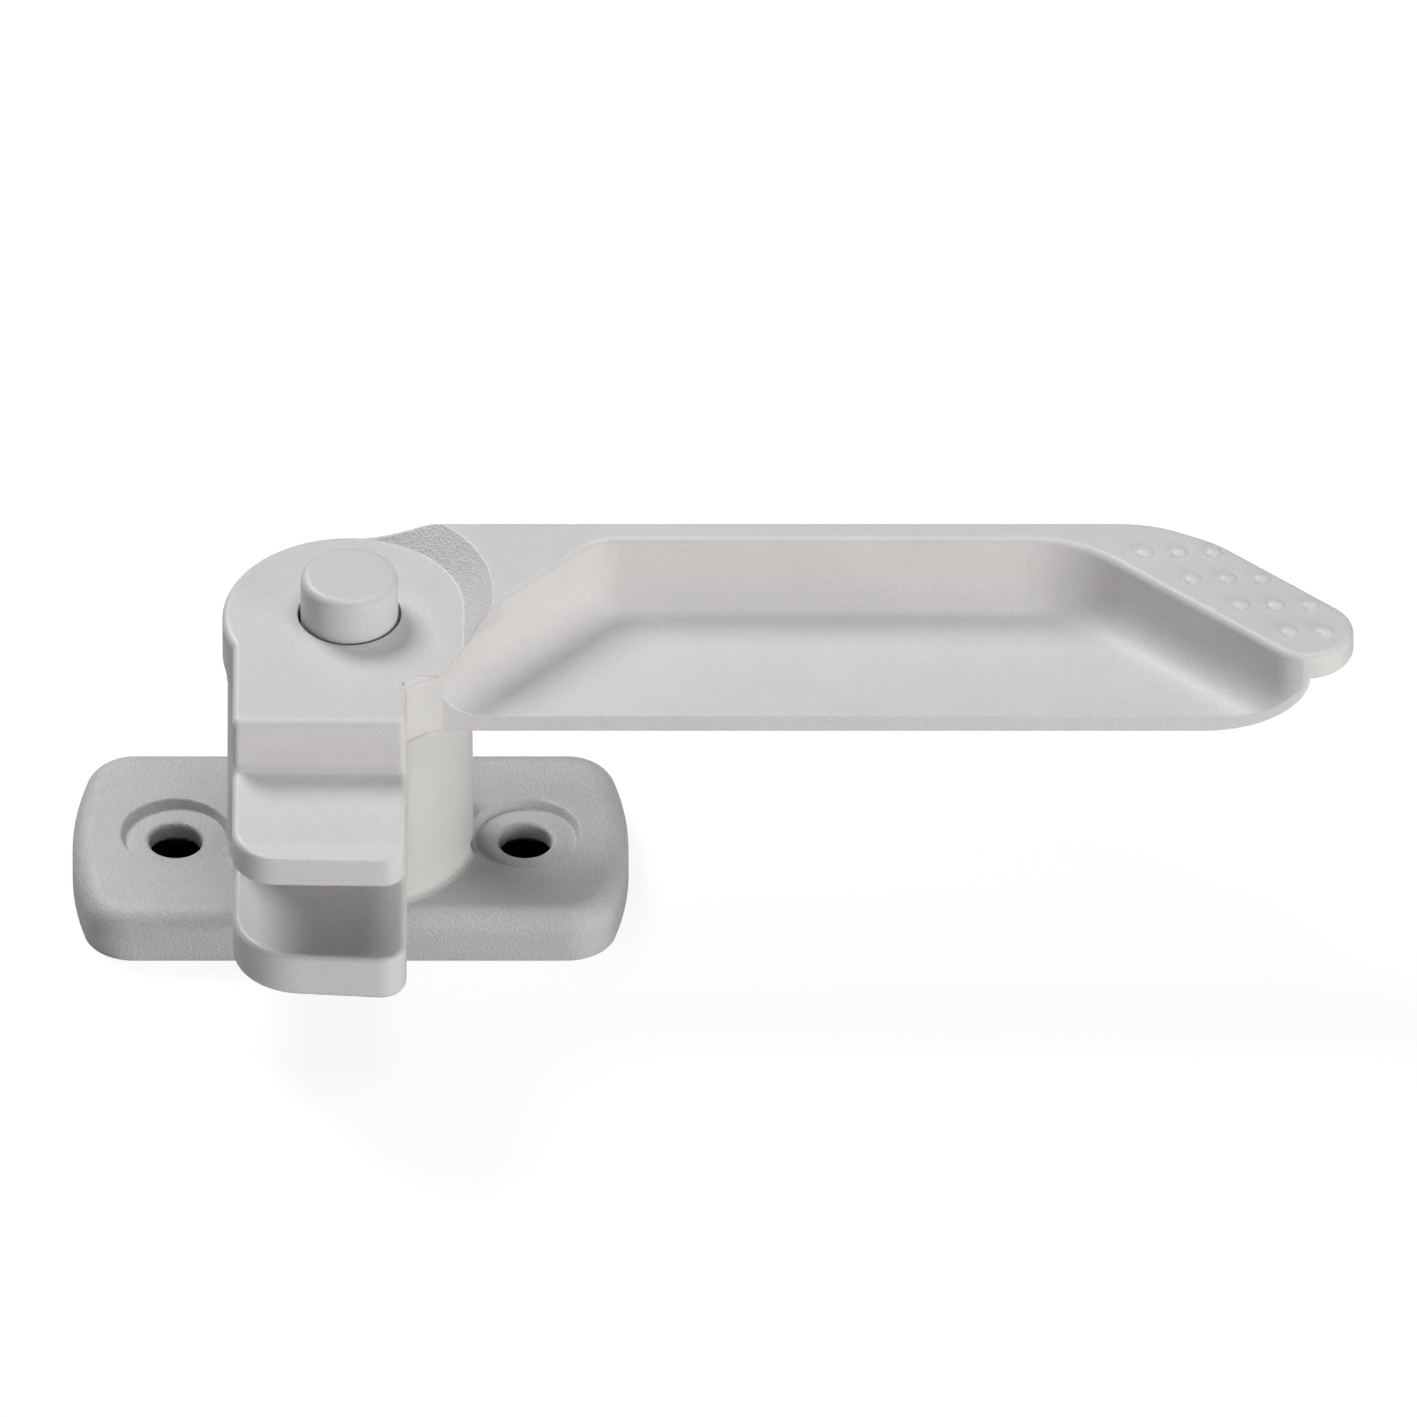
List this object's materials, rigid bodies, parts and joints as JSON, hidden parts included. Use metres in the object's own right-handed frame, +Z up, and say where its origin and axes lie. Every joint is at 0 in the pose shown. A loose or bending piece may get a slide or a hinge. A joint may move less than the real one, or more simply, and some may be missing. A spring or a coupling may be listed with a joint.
{
  "type": "window turn latch",
  "caption": "Screw-on window turn latch: a base plate with an upright barrel, and a scooped handle with a forked claw that turns on it, released by a push button.",
  "frame": {"origin": "where the turning axis meets the mounting face under the base plate", "axes": "+X along the handle in the closed position, -Y towards the claw's mouth, +Z up along the turning axis"},
  "size_m": [0.128, 0.0464, 0.0381],
  "materials": {
    "base_plastic": "light grey, fine spark-eroded grain",
    "lever_plastic": "light grey, smooth satin",
    "button_plastic": "light grey, smooth satin",
    "bar_plastic": "dark grey, plain moulded",
    "washer_plastic": "natural white, plain moulded",
    "spring_steel": "drawn spring steel",
    "screw_steel": "zinc plated",
    "ring_steel": "oiled spring steel"
  },
  "bodies": {
    "base": {"base": "base_plastic"},
    "lever": {"lever": "lever_plastic", "thrust_washer": "washer_plastic", "disc_spring": "spring_steel", "retaining_ring": "ring_steel", "button_spring": "spring_steel"},
    "button": {"push_button": "button_plastic", "lock_bar": "bar_plastic", "bar_screw": "screw_steel"}
  },
  "joints": [
    {"name": "lever_turn", "type": "hinge", "parent": "base", "child": "lever", "pos_m": [0, 0, 0.0254], "axis": [0, 0, 1], "range_deg": [0, 90]},
    {"name": "button_press", "type": "slide", "parent": "lever", "child": "button", "axis": [0, 0, -1], "range_m": [0, 0.0035], "stiffness_N_per_m": 900, "springref_m": -0.002, "deforming": ["button_spring"]}
  ]
}
